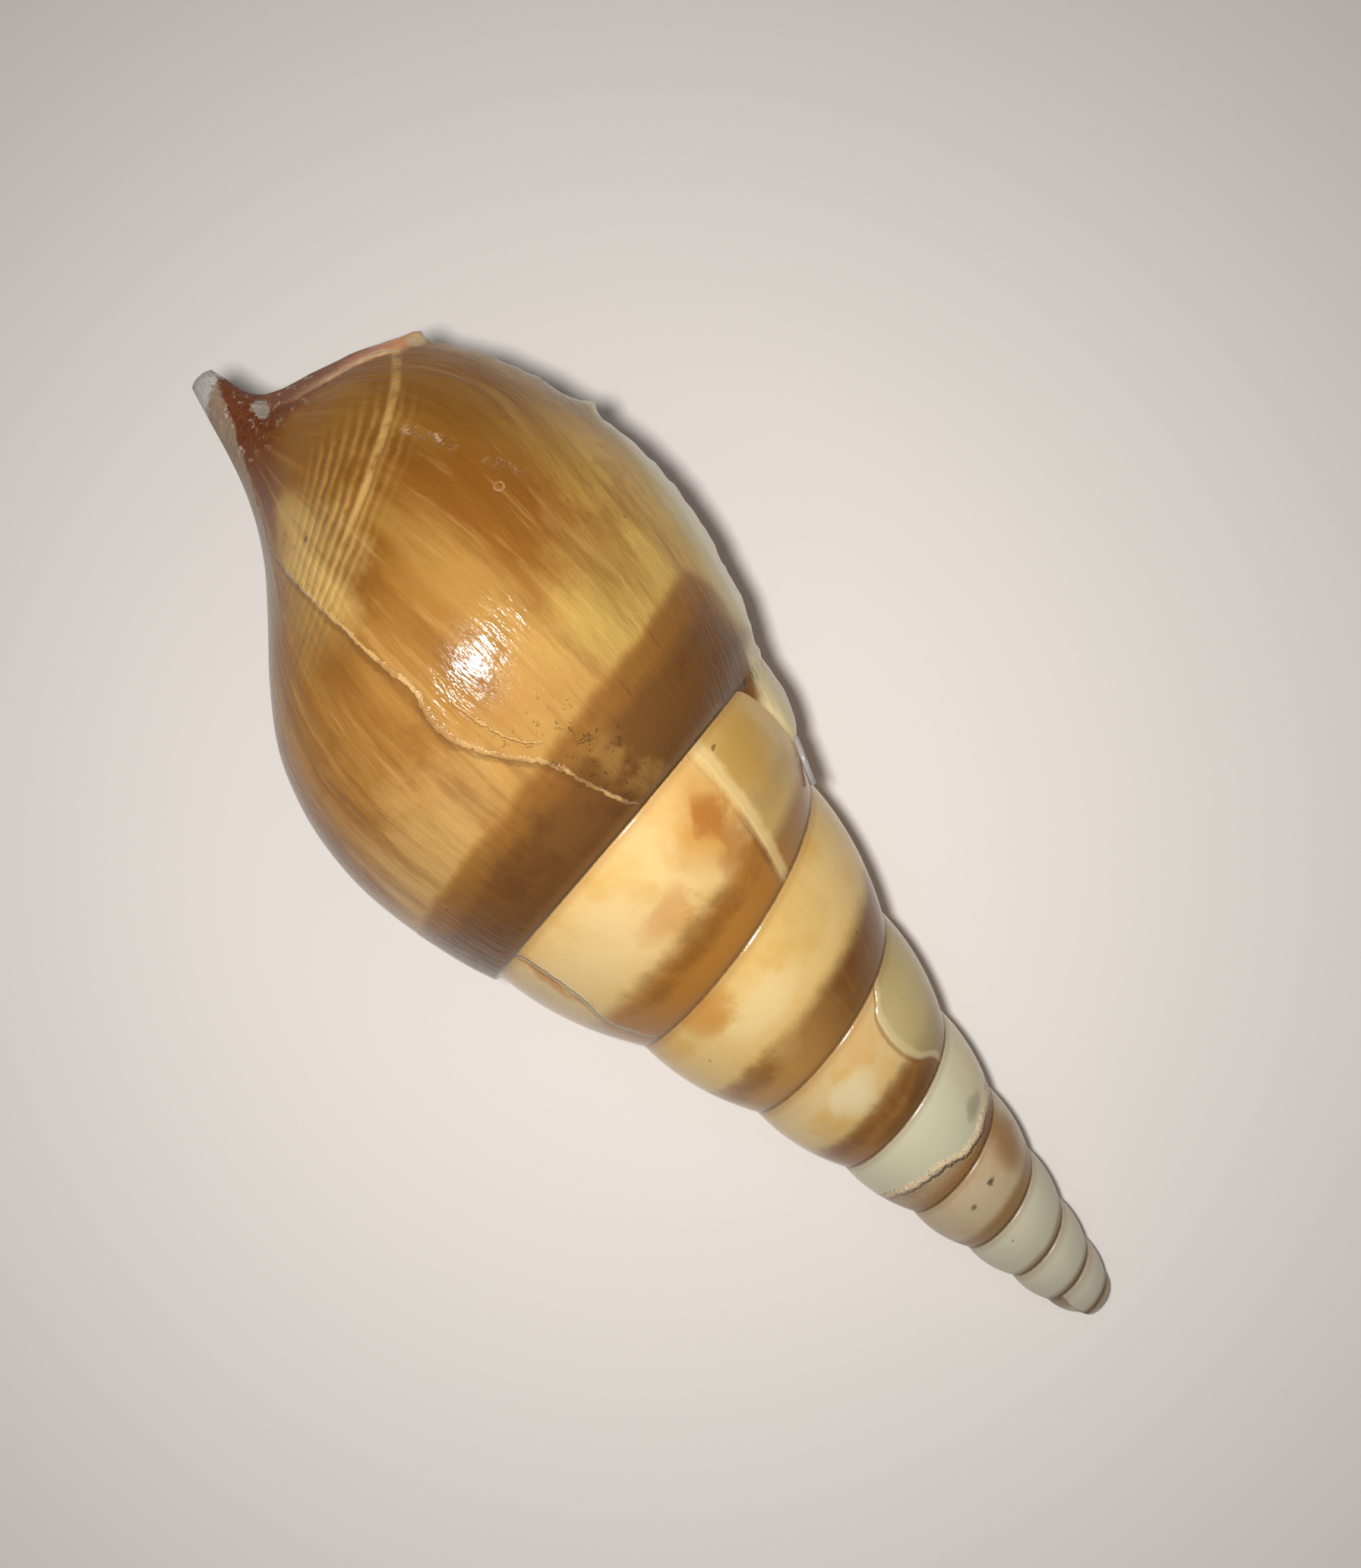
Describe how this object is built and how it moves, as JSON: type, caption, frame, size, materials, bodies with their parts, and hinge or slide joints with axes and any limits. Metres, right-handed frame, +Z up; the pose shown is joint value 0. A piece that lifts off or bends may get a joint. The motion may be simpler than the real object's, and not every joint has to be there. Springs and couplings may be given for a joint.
{
  "type": "tibia sea snail shell",
  "caption": "Tall-spired sea snail shell with a swollen last whorl, a lip that climbs the spire and a short broken beak, lying on its opening.",
  "frame": {"origin": "middle of the bounding box at its base, on the surface that the shell lies on", "axes": "+X towards the apex of the spire, +Y towards the outer lip, +Z up"},
  "size_m": [0.1414, 0.0536, 0.0531],
  "materials": {
    "shell": "polished"
  },
  "bodies": {
    "root": {"shell": "shell"}
  },
  "joints": []
}
